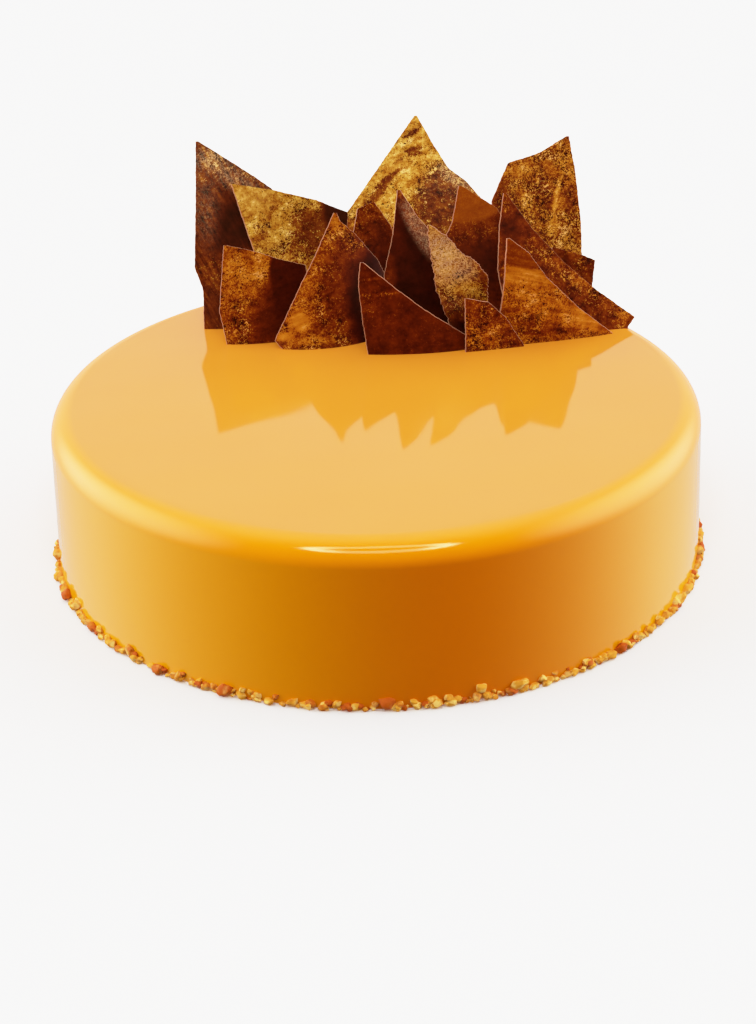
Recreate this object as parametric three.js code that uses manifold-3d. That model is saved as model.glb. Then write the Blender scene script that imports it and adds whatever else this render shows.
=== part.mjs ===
// Mirror-glazed entremet: a round caramel-glazed cake with a crown of gold-dusted chocolate
// shards standing in the back half of its top and chopped nuts pressed round its foot.
// Millimetres, +Z up. The origin is the centre of the flat underside, and the shards stand
// on the half of the top that lies towards +Y.
import * as THREE from 'three';
import { mergeVertices } from 'three/addons/utils/BufferGeometryUtils.js';
import Module from 'manifold-3d';

// Cake: the side flares a little towards the foot, and the glaze rounds the top edge.
const HEIGHT = 55;
const TOP_RADIUS = 110;
const FOOT_RADIUS = 112;
const EDGE_ROUND = 8;
const FOOT_BEVEL = 1;
const TURN_STEPS = 84;
const ARC_STEPS = 3;

// Shards: snapped chocolate plates pushed a little way into the top.
const PLATE_THICKNESS = 1.2;
const PLATE_COLUMNS = 5;
const SINK = 4;
const SLOT_GAP = 0.3;
const SLOT_RISE = 3;
const BOW_SPAN = 20;

// Chopped nuts: one uneven row, the larger pieces rarer than the small ones.
const NUT_COUNT = 172;
const NUT_SMALL = 2.5;
const NUT_LARGE = 5.5;
const NUT_LONG = 1.3;
const NUT_LOW = 0.9;
const NUT_SPREAD = 0.9;
const NUT_CLEARANCE = 0.15;
const NUT_STAND_OFF = 0.26;
const NUT_KNOB = 0.2;
const NUT_RAISED_SHARE = 0.18;
const NUT_RAISE = 3;
const NUT_SEED = 20261;

// Each shard stands at its foot point on the top, turned about +Z and leaning back towards +Y.
// bow is how far the plate curls back at BOW_SPAN either side of its middle. left and right
// are its two snapped edges from the tip down to the glaze: [across, up] on the plate.
const SHARDS = [
  {
    name: 'shard_back_left', colour: 0x5a3014, foot: [-50, 57.5], turn: 0, lean: 30, bow: 1.3,
    left: [[-14, 70], [-14.5, 48], [-15.5, 23], [-12.5, 14.5], [-12.5, 0]],
    right: [[-13, 70], [7, 56.5], [14, 51.5], [12, 40], [8.5, 28], [1, 0]],
  },
  {
    name: 'shard_mid_left', colour: 0x8a5a1c, foot: [-32, 57], turn: 17, lean: 28, bow: -1.5,
    left: [[-11.7, 54.5], [-10, 44], [-7.5, 29.5], [-7, 0]],
    right: [[-10.7, 54.5], [4, 50.5], [18.5, 45], [29.5, 38.5], [25, 20], [13, 0]],
  },
  {
    name: 'shard_front_left', colour: 0x7a4210, foot: [-42, 42.5], turn: 4, lean: 18, bow: 3.3,
    left: [[-10, 35.5], [-13, 12], [-11, 0]],
    right: [[-9, 35.5], [0.5, 33], [10, 29.5], [19, 27], [20, 14], [14, 0]],
  },
  {
    name: 'shard_front_wide', colour: 0x8e5416, foot: [-18, 36], turn: 8, lean: 20, bow: 5,
    left: [[7.5, 47.5], [-1.5, 31], [-5.5, 24.5], [-17, 4], [-14, 0]],
    right: [[8.5, 47.5], [9.5, 44.5], [14.5, 40], [23, 29.5], [25, 25], [26, 12], [24, 0]],
  },
  {
    name: 'shard_mid_dark', colour: 0x4a1a10, foot: [2, 53], turn: 5, lean: 24, bow: 2,
    left: [[0.3, 46], [-5, 44], [-7, 35.5], [-8, 15], [-6, 0]],
    right: [[1.3, 46], [7, 37], [9, 20], [6, 0]],
  },
  {
    name: 'shard_back_centre', colour: 0xa8741c, foot: [12, 66], turn: 0, lean: 39, bow: 1,
    left: [[6, 79], [-3.5, 65.5], [-15, 49], [-23, 38], [-26, 20], [-20, 0]],
    right: [[7, 79], [13, 67], [18.5, 57.5], [24.5, 53], [32, 44], [33, 25], [25, 0]],
  },
  {
    name: 'shard_mid_spike', colour: 0x3a1610, foot: [14, 38], turn: 0, lean: 21.5, bow: 3.3,
    left: [[-4, 54.5], [-6, 39], [-9.5, 25], [-10, 10], [-8, 0]],
    right: [[-3, 54.5], [2.5, 45.5], [7.5, 39.5], [13, 24], [14, 8], [12, 0]],
  },
  {
    name: 'shard_front_centre', colour: 0x4e1a0e, foot: [14, 28.8], turn: 3, lean: 10, bow: 2.2,
    left: [[-17.5, 33], [-18.5, 25.5], [-17.5, 12.5], [-16, 0]],
    right: [[-16.5, 33], [-6, 24], [4.5, 15.5], [19, 5.5], [19, 0]],
  },
  {
    name: 'shard_mid_bronze', colour: 0x8a6428, foot: [33, 34.8], turn: 3, lean: 10.5, bow: 1.7,
    left: [[-12.5, 43.5], [-12, 36], [-10, 20.5], [-6, 9], [-4, 0]],
    right: [[-11.5, 43.5], [-6, 39.5], [-0.5, 33], [4.5, 30], [8.5, 24], [8, 16], [8, 0]],
  },
  {
    name: 'shard_mid_copper', colour: 0x7a3c10, foot: [40, 50], turn: 5, lean: 27, bow: 2.2,
    left: [[-5.3, 52.5], [-8.5, 39.5], [-11, 35], [-12, 15], [-9, 0]],
    right: [[-4.3, 52.5], [8.5, 43.5], [14, 30], [10, 0]],
  },
  {
    name: 'shard_front_small', colour: 0x5a240e, foot: [43, 31], turn: 10, lean: 10, bow: 0.5,
    left: [[-10, 19], [-10.5, 0]],
    right: [[-9, 19], [-1.5, 17], [4.5, 11], [11, 0]],
  },
  {
    name: 'shard_mid_long', colour: 0x4a200e, foot: [66, 43.8], turn: 8, lean: 28, bow: 0,
    left: [[-14.3, 52], [-17, 40], [-19, 25], [-18.5, 19], [-16, 0]],
    right: [[-13.3, 52], [-5, 38.5], [5.5, 25.5], [15.5, 15.5], [30, 3.5], [27, 0]],
  },
  {
    name: 'shard_front_right', colour: 0x9a5c14, foot: [64, 36.8], turn: 11, lean: 7, bow: 1.2,
    left: [[-15.6, 38.5], [-17, 22.5], [-18.5, 12.5], [-18, 0]],
    right: [[-14.6, 38.5], [-8, 33], [-1.5, 23.5], [10, 11.5], [23.5, 0]],
  },
  {
    name: 'shard_back_right', colour: 0x7e5018, foot: [72, 59], turn: 0, lean: 28, bow: -1.2,
    left: [[1.4, 67], [-9, 61], [-20.5, 57.5], [-27, 43.5], [-24, 22], [-18, 0]],
    right: [[2.4, 67], [4.5, 53.5], [6, 35], [6, 23], [4, 0]],
  },
  {
    name: 'shard_mid_small', colour: 0x8a5614, foot: [80, 52], turn: 4, lean: 24, bow: 2,
    left: [[-13, 28.5], [-14, 15], [-10, 0]],
    right: [[-12, 28.5], [-1.5, 25], [2.5, 23], [1, 14], [-1, 0]],
  },
];

const wasm = await Module();
wasm.setup();

// A geometry as a closed solid: vertices merged by place, triangles without area left out.
function solidOf(geometry) {
  const bare = geometry.clone();
  bare.deleteAttribute('normal');
  bare.deleteAttribute('uv');
  const merged = mergeVertices(bare);
  const corners = merged.index.array;
  const triangles = [];
  for (let i = 0; i < corners.length; i += 3) {
    const [a, b, c] = corners.slice(i, i + 3);
    if (a !== b && b !== c && c !== a) triangles.push(a, b, c);
  }
  const vertProperties = Float32Array.from(merged.attributes.position.array);
  const triVerts = Uint32Array.from(triangles);
  return new wasm.Manifold(new wasm.Mesh({ numProp: 3, vertProperties, triVerts }));
}

function geometryOf(solid) {
  const { vertProperties, triVerts } = solid.getMesh();
  const geometry = new THREE.BufferGeometry();
  geometry.setAttribute('position', new THREE.BufferAttribute(vertProperties, 3));
  geometry.setIndex(new THREE.BufferAttribute(triVerts, 1));
  geometry.computeVertexNormals();
  return geometry;
}

// The glazed cake as a turned outline: flat underside, flared side, rounded edge, flat top.
function glazedBody() {
  const outline = new THREE.Path();
  outline.moveTo(0, 0);
  outline.lineTo(FOOT_RADIUS - FOOT_BEVEL, 0);
  outline.lineTo(FOOT_RADIUS, FOOT_BEVEL);
  outline.absarc(TOP_RADIUS - EDGE_ROUND, HEIGHT - EDGE_ROUND, EDGE_ROUND, 0, Math.PI / 2);
  outline.lineTo(0, HEIGHT);
  const body = new THREE.LatheGeometry(outline.getPoints(ARC_STEPS), TURN_STEPS);
  return body.rotateX(Math.PI / 2);
}

// Repeatable draws between 0 and 1.
function drawsFrom(seed) {
  const multiplier = 16807;
  const modulus = 2147483647;
  let state = seed;
  return () => {
    state = (state * multiplier) % modulus;
    return state / modulus;
  };
}

// One chopped nut: a knobbly icosahedron, drawn out along the foot line, some raised on the side.
function nutPiece(index, draw) {
  const place = (index + NUT_SPREAD * (draw() - 0.5)) / NUT_COUNT;
  const size = NUT_SMALL + (NUT_LARGE - NUT_SMALL) * draw() ** 2;
  const stretch = new THREE.Vector3(1, 0.75 + 0.25 * draw(), 0.65 + 0.25 * draw());
  const phase = 2 * Math.PI * draw();
  const tumble = new THREE.Euler(2 * Math.PI * draw(), 2 * Math.PI * draw(), 2 * Math.PI * draw());
  const standing = draw();
  const raised = Math.max(0, 1 - draw() / NUT_RAISED_SHARE);
  const piece = new THREE.IcosahedronGeometry(1, 0);
  const corners = piece.attributes.position;
  const corner = new THREE.Vector3();
  for (let i = 0; i < corners.count; i += 1) {
    corner.fromBufferAttribute(corners, i);
    const knob = Math.sin(3 * corner.x + phase) * Math.cos(2 * corner.y - 3 * corner.z + phase);
    corner.multiply(stretch).multiplyScalar((1 + NUT_KNOB * knob) * size / 2).applyEuler(tumble);
    corners.setXYZ(i, corner.x, corner.y * NUT_LONG, corner.z * NUT_LOW);
  }
  piece.computeBoundingBox();
  const height = NUT_CLEARANCE + NUT_RAISE * raised - piece.boundingBox.min.z;
  const distance = FOOT_RADIUS + NUT_STAND_OFF * size * standing * (1 - raised);
  return piece.translate(distance, 0, height).rotateZ(2 * Math.PI * place);
}

// Across-position of a snapped edge at a height on the plate, held below the glaze.
function edgeAt(edge, up) {
  const lower = edge.findIndex((point) => point[1] <= up);
  if (lower === 0) return edge[0][0];
  if (lower < 0) return edge.at(-1)[0];
  const [upperAcross, upperUp] = edge[lower - 1];
  const [lowerAcross, lowerUp] = edge[lower];
  return THREE.MathUtils.mapLinear(up, lowerUp, upperUp, lowerAcross, upperAcross);
}

// A thin bowed plate between two snapped edges, with rows at the given heights. X runs
// across, Z up the plate and Y through it. Front and back are split into triangles alike.
function plateGeometry({ left, right, bow }, heights, grow) {
  const rows = heights.length - 1;
  const face = new THREE.PlaneGeometry(1, 1, PLATE_COLUMNS, rows);
  const perRow = PLATE_COLUMNS + 1;
  const perFace = face.attributes.position.count;
  const halfThickness = PLATE_THICKNESS / 2 + grow;
  const positions = [];
  for (const side of [-1, 1]) {
    for (const up of heights) {
      const from = edgeAt(left, up) - grow;
      const to = edgeAt(right, up) + grow;
      for (let column = 0; column < perRow; column += 1) {
        const across = THREE.MathUtils.lerp(from, to, column / PLATE_COLUMNS);
        positions.push(across, bow * (across / BOW_SPAN) ** 2 + side * halfThickness, up);
      }
    }
  }
  const front = Array.from(face.index.array);
  const back = front.map((corner) => corner + perFace).reverse();
  const rim = [];
  for (let row = 0; row < rows; row += 1) rim.push(row * perRow);
  for (let column = 0; column < PLATE_COLUMNS; column += 1) rim.push(rows * perRow + column);
  for (let row = rows; row > 0; row -= 1) rim.push(row * perRow + PLATE_COLUMNS);
  for (let column = PLATE_COLUMNS; column > 0; column -= 1) rim.push(column);
  const wall = rim.flatMap((here, i) => {
    const next = rim[(i + 1) % rim.length];
    return [next, here, here + perFace, next, here + perFace, next + perFace];
  });
  const plate = new THREE.BufferGeometry();
  plate.setAttribute('position', new THREE.Float32BufferAttribute(positions, 3));
  plate.setIndex([...front, ...back, ...wall]);
  plate.computeVertexNormals();
  return plate;
}

// The heights of a plate's rows: every corner of its two edges, then the end of its sunk foot.
function plateHeights({ left, right }) {
  const corners = [...left, ...right].map((point) => point[1]);
  return [...new Set([...corners, -SINK])].sort((a, b) => b - a);
}

function shardMesh(shard) {
  const material = new THREE.MeshStandardMaterial({ color: shard.colour, roughness: 0.45, metalness: 0.2 });
  const mesh = new THREE.Mesh(plateGeometry(shard, plateHeights(shard), 0), material);
  mesh.name = shard.name;
  mesh.position.set(shard.foot[0], shard.foot[1], HEIGHT);
  const leanBack = THREE.MathUtils.degToRad(-shard.lean);
  mesh.rotation.set(leanBack, 0, THREE.MathUtils.degToRad(shard.turn), 'ZXY');
  mesh.updateMatrix();
  return mesh;
}

// The slot that a shard's foot stands in, a little larger all round than the foot.
function slotSolid(shard, mesh) {
  const slot = plateGeometry(shard, [SLOT_RISE, 0, -SINK - SLOT_GAP], SLOT_GAP);
  return solidOf(slot.applyMatrix4(mesh.matrix));
}

function cakeMesh(shardMeshes) {
  const draw = drawsFrom(NUT_SEED);
  let solid = solidOf(glazedBody());
  for (let i = 0; i < NUT_COUNT; i += 1) solid = solid.add(solidOf(nutPiece(i, draw)));
  SHARDS.forEach((shard, i) => {
    solid = solid.subtract(slotSolid(shard, shardMeshes[i]));
  });
  const material = new THREE.MeshStandardMaterial({ color: 0xe79d2c, roughness: 0.08, metalness: 0 });
  const mesh = new THREE.Mesh(geometryOf(solid), material);
  mesh.name = 'cake';
  return mesh;
}

const entremet = new THREE.Group();
const crown = SHARDS.map(shardMesh);
entremet.add(cakeMesh(crown), ...crown);

export default entremet;
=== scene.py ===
"""Looks of a mirror-glazed entremet with a crown of dusted chocolate shards.

The cake is a turned body under poured caramel glaze. Fifteen snapped chocolate plates stand in
the back half of its top, and chopped toasted nuts ring its foot. Lengths are in millimetres in
the classes and become metres when a mesh is made.
"""

import logging
import math
from dataclasses import dataclass, field
from enum import Enum
from typing import Any, Sequence

import bpy
import numpy as np
from mathutils import Matrix, Vector

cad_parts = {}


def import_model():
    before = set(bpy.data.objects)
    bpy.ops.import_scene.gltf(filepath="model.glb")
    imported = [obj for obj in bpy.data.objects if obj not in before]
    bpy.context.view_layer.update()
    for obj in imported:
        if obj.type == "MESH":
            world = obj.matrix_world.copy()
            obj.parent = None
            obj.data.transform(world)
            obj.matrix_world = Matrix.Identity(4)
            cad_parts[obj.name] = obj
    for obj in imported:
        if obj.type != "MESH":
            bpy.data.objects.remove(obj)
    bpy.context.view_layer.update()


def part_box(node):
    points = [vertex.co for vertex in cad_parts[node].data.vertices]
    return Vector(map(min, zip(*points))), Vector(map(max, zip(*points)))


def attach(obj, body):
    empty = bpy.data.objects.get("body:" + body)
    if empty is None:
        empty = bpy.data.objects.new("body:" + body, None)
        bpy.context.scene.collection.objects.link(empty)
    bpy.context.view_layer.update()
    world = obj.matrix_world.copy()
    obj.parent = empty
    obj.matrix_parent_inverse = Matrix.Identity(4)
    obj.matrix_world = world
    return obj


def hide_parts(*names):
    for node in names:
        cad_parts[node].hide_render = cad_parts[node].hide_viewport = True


Array, Random, Pair = np.ndarray, np.random.Generator, tuple[float, float]
Node, Socket, Tree = bpy.types.Node, bpy.types.NodeSocket, bpy.types.NodeTree
Piece, Material = bpy.types.Object, bpy.types.Material
MM = 0.001
TURN = 2 * math.pi
BODY = "root"
log = logging.getLogger("entremet")


def linear(hex_colour: str) -> tuple[float, float, float, float]:
    """Turn an sRGB hex value into linear light.

    Args:
        hex_colour: six hex digits after a hash sign.

    Returns:
        Red, green, blue and an alpha of one.
    """
    parts = [int(hex_colour[i:i + 2], 16) / 255 for i in (1, 3, 5)]
    light = [c / 12.92 if c <= 0.04045 else ((c + 0.055) / 1.055) ** 2.4 for c in parts]
    return (light[0], light[1], light[2], 1.0)


def add_node(
    tree: Tree,
    kind: str,
    inputs: dict[str | int, Any] | None = None,
    **settings: Any,
) -> Node:
    """Add one node with its settings, values and links.

    Args:
        tree: node tree that takes the node.
        kind: type name of the node, without its leading ShaderNode.
        inputs: for each input name or number, a value to set, or a socket or a node to link. A
            node stands for the first of its outputs that is in use.
        **settings: properties of the node itself.

    Returns:
        The new node.
    """
    node = tree.nodes.new("ShaderNode" + kind)
    for name, value in settings.items():
        setattr(node, name, value)
    for name, value in (inputs or {}).items():
        if isinstance(value, Node):
            value = next(output for output in value.outputs if output.enabled)
        if isinstance(value, Socket):
            tree.links.new(value, node.inputs[name])
        else:
            node.inputs[name].default_value = value
    return node


def new_finish(name: str) -> tuple[Material, Tree]:
    """Start a material with an empty node tree.

    Args:
        name: common name of the real material.

    Returns:
        The material and its node tree.
    """
    material = bpy.data.materials.new(name)
    material.use_nodes = True
    material.node_tree.nodes.clear()
    return material, material.node_tree


def ring_quads(rows: int, columns: int) -> Array:
    """Number the quads of a grid whose rows are closed rings.

    Args:
        rows: number of rings.
        columns: number of points in each ring.

    Returns:
        An array of four corner numbers for each quad, anticlockwise from outside.
    """
    row, column = np.meshgrid(np.arange(rows - 1), np.arange(columns), indexing="ij")
    after = (column + 1) % columns
    corners = [row * columns + column, row * columns + after]
    corners += [(row + 1) * columns + after, (row + 1) * columns + column]
    return np.stack(corners, axis=-1).reshape(-1, 4)


def capped_rings(rows: int, columns: int) -> list[Array]:
    """Number the faces of rings that a fan at each end draws together to a pole.

    Args:
        rows: number of rings. The lower and the upper pole are numbered after them.
        columns: number of points in each ring.

    Returns:
        The quads between the rings, the lower fan and the upper fan.
    """
    column = np.arange(columns)
    after = (column + 1) % columns
    pole = np.full(columns, rows * columns)
    last = (rows - 1) * columns
    under = np.stack([pole, after, column], axis=-1)
    over = np.stack([pole + 1, last + column, last + after], axis=-1)
    return [ring_quads(rows, columns), under, over]


def make_piece(
    name: str,
    points: Array,
    faces: Sequence[Array],
    material: Material,
    attributes: dict[str, Array] | None = None,
    sharp_angle: float = 180.0,
) -> Piece:
    """Put arrays of points and faces into a mesh object at the origin.

    Args:
        name: name of the piece.
        points: places in millimetres, three numbers each.
        faces: arrays of corner numbers, one array for each number of corners.
        material: finish of the whole piece.
        attributes: one value, vector or colour for each point, by name.
        sharp_angle: edges that turn by more than this many degrees stay sharp.

    Returns:
        The object, linked to the scene.
    """
    mesh = bpy.data.meshes.new(name)
    places = np.asarray(points, dtype=np.float32).reshape(-1, 3) * MM
    corners = np.concatenate([part.ravel() for part in faces]).astype(np.int32)
    sides = np.concatenate([np.full(len(part), part.shape[1]) for part in faces])
    starts = np.concatenate([[0], np.cumsum(sides)[:-1]]).astype(np.int32)
    mesh.vertices.add(len(places))
    mesh.vertices.foreach_set("co", places.ravel())
    mesh.loops.add(len(corners))
    mesh.loops.foreach_set("vertex_index", corners)
    mesh.polygons.add(len(sides))
    mesh.polygons.foreach_set("loop_start", starts)
    mesh.update(calc_edges=True)
    mesh.validate()
    kinds = {1: ("FLOAT", "value"), 3: ("FLOAT_VECTOR", "vector"), 4: ("FLOAT_COLOR", "color")}
    for key, values in (attributes or {}).items():
        kind, slot = kinds[1 if values.ndim == 1 else values.shape[1]]
        layer = mesh.attributes.new(key, kind, "POINT")
        layer.data.foreach_set(slot, values.astype(np.float32).ravel())
    mesh.shade_smooth()
    mesh.set_sharp_from_angle(angle=math.radians(sharp_angle))
    mesh.materials.append(material)
    piece = bpy.data.objects.new(name, mesh)
    bpy.context.scene.collection.objects.link(piece)
    return piece


class SubAssembly:
    """A sub-assembly of the part, which builds its pieces and dresses them."""

    @staticmethod
    def dress(piece: Piece, node: str, slot: str) -> None:
        """Let a piece ride on the body and stand for its solid.

        Args:
            piece: the finished piece.
            node: name of the solid that it stands for.
            slot: not used.
        """
        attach(piece, BODY)
        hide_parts(node)
        log.info("%s: %d points for %s", piece.name, len(piece.data.vertices), node)


@dataclass(frozen=True)
class MirrorGlaze:
    """Caramel mirror glaze, poured and set: a wet, sharp gloss over a clear amber body.

    The rounded edge has a brighter, redder colour: a painted glow of light through the glaze.
    The front and the back of the side have a darker, redder colour: painted shade.
    """

    side_colour: str = "#eb9800"
    # Painted shade: a darker, redder colour for the front and the back of the side
    shaded_side_colour: str = "#d06800"
    # Painted glow: a brighter, redder colour for the rounded edge, standing for light through the glaze
    edge_glow_colour: str = "#f98a00"
    top_colour: str = "#cc7d1f"
    cloud_share: float = 0.04
    cloud_mm: float = 45.0
    roughness: float = 0.06
    index: float = 1.48
    gloss_tint: str = "#fff5c5"

    def material(self) -> Material:
        """Build the glaze, with its film read from the cake's own attributes.

        Returns:
            The material.
        """
        material, tree = new_finish("caramel_mirror_glaze")
        film: Any = linear(self.side_colour)
        # Side colour, then painted shade on the side, the top's colour and a painted glow on the edge
        films = {"deep": self.shaded_side_colour, "over": self.top_colour, "thin": self.edge_glow_colour}
        for name, colour in films.items():
            share = add_node(tree, "Attribute", attribute_name=name).outputs["Fac"]
            film = add_node(tree, "Mix", {0: share, 6: film, 7: linear(colour)}, data_type="RGBA")

        # Slow clouds in the depth of the film
        place = add_node(tree, "TexCoord").outputs["Object"]
        cloud = add_node(tree, "TexNoise", {
            "Vector": place, "Scale": 1 / (self.cloud_mm * MM), "Detail": 2.0,
        })
        shade = add_node(tree, "MapRange", {
            "Value": cloud, "To Min": 1 - self.cloud_share, "To Max": 1 + self.cloud_share,
        })
        clouded = add_node(tree, "VectorMath", {0: film, 1: shade}, operation="MULTIPLY")
        surface = add_node(tree, "BsdfPrincipled", {
            "Base Color": clouded, "Roughness": self.roughness, "IOR": self.index,
            "Specular Tint": linear(self.gloss_tint),
        })
        add_node(tree, "OutputMaterial", {"Surface": surface})
        return material


@dataclass(frozen=True)
class DustedChocolate:
    """Tempered dark chocolate brushed with metallic powder: soft-gloss maroon under gold grains.

    The more powder lies on a place, the further its colour climbs from bare chocolate through
    rust and amber to bright gold. Snapped edges are bare, with a pale painted highlight of lit edges.
    """

    copper_climb: tuple[str, ...] = (
        "#0e0301", "#3a0d03", "#561904", "#6e2806", "#863c08",
        "#9e520c", "#b46912", "#c67f20", "#de9f4a",
    )
    gilt_climb: tuple[str, ...] = (
        "#0e0301", "#3a1003", "#561e05", "#6e3008", "#86480e",
        "#9c6317", "#b27e28", "#c6973c", "#e4b866",
    )
    # Painted sheen: the pale colour of a reflection painted on the grains
    sheen_colour: str = "#d4b488"
    # Painted highlight: the pale colour of lit snapped edges, over the bare break
    break_highlight_colour: str = "#b87c5a"
    gloss_tint: str = "#b0603a"
    gloss_level: float = 0.22
    grain_mm: float = 0.85
    grain_waver: float = 1.4
    grain_reach: float = 0.06
    cover: float = 0.6
    balance: float = 4.0
    crowd_turn: Pair = (0.35, 0.65)
    merged: float = 0.55
    crowded: float = 1.5
    drift_mm: float = 5.0
    drift_share: float = 2.7
    clump_mm: float = 1.8
    clump_share: float = 3.3
    stroke_mm: float = 1.5
    stroke_depth: float = 3.2
    # Where the grains take the painted sheen, and how strongly
    glint_turn: Pair = (0.42, 0.64)
    glint_share: Pair = (0.25, 2.2)
    bare_roughness: float = 0.42
    powder_roughness: float = 0.50
    powder_metal: float = 0.25
    powder_from: float = 0.30
    powder_full: float = 0.80
    bump_mm: float = 0.05

    def speckled(
        self, tree: Tree, plate: Socket, grain: Node, level: Socket, spread: Socket
    ) -> Node:
        """Vary the level of the powder by its crisp grains, its slow drifts and its clumps.

        The more powder there is, the more of the surface its grains cover, so sparse powder leaves
        flecks and thick powder leaves pits. They crowd in some places and merge in others. Their
        own mean is taken off, so that the level stays the mean.

        Args:
            tree: nodes of the chocolate.
            plate: places on the plate.
            grain: noise of the grains.
            level: how far the colour climbs.
            spread: how much it varies.

        Returns:
            The varied level.
        """
        covered = add_node(tree, "Math", {0: level, 1: self.cover, 2: grain}, operation="MULTIPLY_ADD")
        edge = 0.5 + self.cover / 2
        crisp = add_node(tree, "MapRange", {
            "Value": covered, "From Min": edge - self.grain_reach, "From Max": edge + self.grain_reach,
            "To Min": self.balance / 2 - 1, "To Max": self.balance / 2 + 1,
        }, interpolation_type="SMOOTHSTEP")
        even = add_node(tree, "Math", {0: level, 1: -self.balance, 2: crisp}, operation="MULTIPLY_ADD")
        drifts = add_node(tree, "TexNoise", {
            "Vector": plate, "Scale": 1 / self.drift_mm, "Detail": 1.0,
        }).outputs["Color"]
        drift, crowd, _ = add_node(tree, "SeparateColor", {"Color": drifts}).outputs
        crowded = add_node(tree, "MapRange", {
            "Value": crowd, "From Min": self.crowd_turn[0], "From Max": self.crowd_turn[1],
            "To Min": self.merged, "To Max": self.crowded,
        })
        clump = add_node(tree, "TexNoise", {
            "Vector": plate, "Scale": 1 / self.clump_mm, "Detail": 2.0, "Roughness": 0.8,
        })
        varied = add_node(tree, "Math", {0: even, 1: crowded}, operation="MULTIPLY")
        for slow, share in ((drift, self.drift_share), (clump, self.clump_share)):
            swing = add_node(tree, "Math", {0: slow, 1: 0.5}, operation="SUBTRACT")
            varied = add_node(tree, "Math", {0: swing, 1: share, 2: varied}, operation="MULTIPLY_ADD")
        return add_node(tree, "Math", {0: varied, 1: spread, 2: level}, operation="MULTIPLY_ADD")

    def brushed(self, tree: Tree, amount: Node, press: Node) -> Node:
        """Add the marks of the brush, long along its heading and narrow across it.

        Args:
            tree: nodes of the chocolate.
            amount: powder before the brush.
            press: how strongly the brush marks it.

        Returns:
            The powder with its marks.
        """
        stroke = add_node(tree, "Attribute", attribute_name="stroke").outputs["Vector"]
        bristle = add_node(tree, "TexNoise", {
            "Vector": stroke, "Scale": 1 / self.stroke_mm, "Detail": 3.0, "Roughness": 0.6,
        })
        swing = add_node(tree, "MapRange", {
            "Value": bristle, "To Min": -self.stroke_depth / 2, "To Max": self.stroke_depth / 2,
        })
        return add_node(tree, "Math", {0: swing, 1: press, 2: amount}, operation="MULTIPLY_ADD")

    def climbed(self, tree: Tree, amount: Node) -> Node:
        """Colour the powder by how much there is, between copper and gilt as the plate says.

        Args:
            tree: nodes of the chocolate.
            amount: how much powder there is.

        Returns:
            The colour of the powder.
        """
        dusts = []
        for colours in (self.copper_climb, self.gilt_climb):
            climb = add_node(tree, "ValToRGB", {"Fac": amount})
            stops = climb.color_ramp.elements
            for number, colour in enumerate(colours):
                place = number / (len(colours) - 1)
                stop = stops[0] if number == 0 else stops[-1] if place == 1 else stops.new(place)
                stop.color = linear(colour)
            dusts.append(climb)
        gilt = add_node(tree, "Attribute", attribute_name="gilt").outputs["Fac"]
        return add_node(tree, "Mix", {0: gilt, 6: dusts[0], 7: dusts[1]}, data_type="RGBA")

    def material(self) -> Material:
        """Build the chocolate, with its powder read from the plate's own attributes.

        Returns:
            The material.
        """
        material, tree = new_finish("gold_dusted_dark_chocolate")
        plate = add_node(tree, "Attribute", attribute_name="plate").outputs["Vector"]
        snapped = add_node(tree, "Attribute", attribute_name="snapped").outputs["Fac"]
        powder = add_node(tree, "Attribute", attribute_name="powder")
        level, spread, sheen_share = add_node(tree, "SeparateColor", {"Color": powder}).outputs

        # Real powder is too fine to show, so its grains are drawn coarser
        grain = add_node(tree, "TexNoise", {
            "Vector": plate, "Scale": 1 / self.grain_mm, "Detail": 1.0, "Roughness": 1.0,
            "Distortion": self.grain_waver,
        })
        speckled = self.speckled(tree, plate, grain, level, spread)
        press = add_node(tree, "Math", {0: powder.outputs["Alpha"], 1: level}, operation="MULTIPLY")
        amount = self.brushed(tree, speckled, press)

        # A pale painted sheen glints on the grains, and a snapped edge is bare under a painted
        # highlight
        glint = add_node(tree, "MapRange", {
            "Value": grain, "From Min": self.glint_turn[0], "From Max": self.glint_turn[1],
            "To Min": self.glint_share[0], "To Max": self.glint_share[1],
        })
        painted_sheen = add_node(tree, "Math", {0: sheen_share, 1: glint}, operation="MULTIPLY")
        colour = self.climbed(tree, amount)
        for share, cover in ((painted_sheen, self.sheen_colour), (snapped, self.break_highlight_colour)):
            colour = add_node(tree, "Mix", {0: share, 6: colour, 7: linear(cover)}, data_type="RGBA")

        # Powder is more metallic and a little rougher than the bare chocolate
        metal, rough = [
            add_node(tree, "MapRange", {
                "Value": amount, "From Min": self.powder_from, "From Max": self.powder_full,
                "To Min": bare, "To Max": dusted,
            })
            for bare, dusted in ((0.0, self.powder_metal), (self.bare_roughness, self.powder_roughness))
        ]
        relief = add_node(tree, "Bump", {"Height": amount, "Distance": self.bump_mm * MM})
        surface = add_node(tree, "BsdfPrincipled", {
            "Base Color": colour, "Metallic": metal, "Roughness": rough, "Normal": relief,
            "Specular Tint": linear(self.gloss_tint), "Specular IOR Level": self.gloss_level,
        })
        add_node(tree, "OutputMaterial", {"Surface": surface})
        return material


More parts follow.
